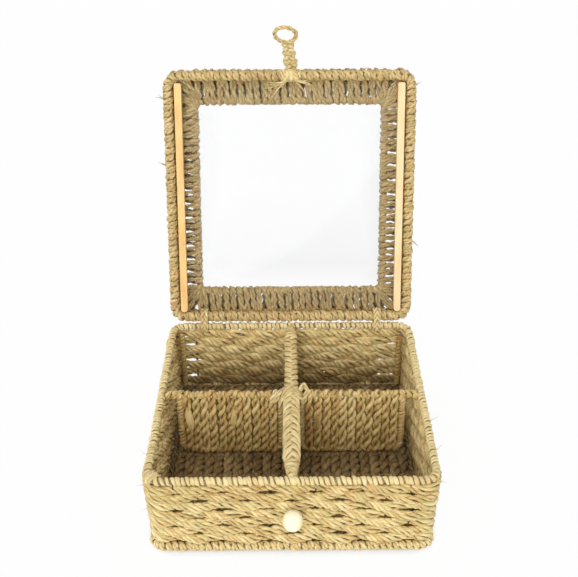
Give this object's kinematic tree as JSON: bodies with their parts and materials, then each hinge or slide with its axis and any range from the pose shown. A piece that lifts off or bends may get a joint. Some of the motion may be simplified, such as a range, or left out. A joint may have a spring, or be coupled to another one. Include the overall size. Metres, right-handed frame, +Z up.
{
  "type": "tea bag organizer box",
  "caption": "Square woven seagrass box with crossed dividers and a hinged lid with a clear window, closed by a cord loop over a wooden bead.",
  "frame": {"origin": "the middle of the base rim's flat, on the surface that the box stands on", "axes": "+X to the right seen from the front, +Y from the front wall to the hinge side, +Z up"},
  "size_m": [0.1908, 0.2674, 0.2882],
  "materials": {
    "steel": "thin drawn wire, mostly hidden under the cord",
    "seagrass_weave": "two-ply twisted seagrass cord, dry and fibrous, pale straw with green and brown patches",
    "seagrass_wrap": "seagrass strands wound tightly round wire, pale straw, slightly glossy on the highlights",
    "pine": "bare sanded softwood",
    "clear_pane": "thin clear sheet, polished"
  },
  "bodies": {
    "box": {"base_rim_wire": "steel", "top_rim_wire": "steel", "corner_posts": "steel", "floor_wires": "steel", "center_divider_wire": "steel", "left_divider_wire": "steel", "right_divider_wire": "steel", "wall_stakes": "seagrass_weave", "front_wall_weave": "seagrass_weave", "back_wall_weave": "seagrass_weave", "left_wall_weave": "seagrass_weave", "right_wall_weave": "seagrass_weave", "floor_weave": "seagrass_weave", "center_divider_weave": "seagrass_weave", "left_divider_weave": "seagrass_weave", "right_divider_weave": "seagrass_weave", "base_rim_wrap": "seagrass_wrap", "top_rim_wrap": "seagrass_wrap", "center_divider_wrap": "seagrass_wrap", "left_divider_wrap": "seagrass_wrap", "right_divider_wrap": "seagrass_wrap", "divider_lashing": "seagrass_wrap", "hinge_tie_left": "seagrass_wrap", "hinge_tie_right": "seagrass_wrap", "knob_tie": "seagrass_wrap", "knob_bead": "pine"},
    "lid": {"lid_seat_wire": "steel", "lid_seat_wrap": "seagrass_wrap", "lid_edge_wire": "steel", "lid_edge_wrap": "seagrass_wrap", "window_wire": "steel", "window_wrap": "seagrass_wrap", "lid_front_strands": "seagrass_wrap", "lid_back_strands": "seagrass_wrap", "lid_left_strands": "seagrass_wrap", "lid_right_strands": "seagrass_wrap", "window_pane": "clear_pane", "left_strip": "pine", "right_strip": "pine", "loop_anchor": "seagrass_wrap"},
    "loop": {"closure_loop": "seagrass_wrap"}
  },
  "joints": [
    {"name": "lid_hinge", "type": "hinge", "parent": "box", "child": "lid", "pos_m": [0, 0.09525, 0.0664], "axis": [1, 0, 0], "range_deg": [0, 105.5]},
    {"name": "loop_fold", "type": "hinge", "parent": "lid", "child": "loop", "pos_m": [0.001, 0.14699, 0.25296], "axis": [0.9903, 0.0372, 0.1341], "range_deg": [0, 48]}
  ]
}
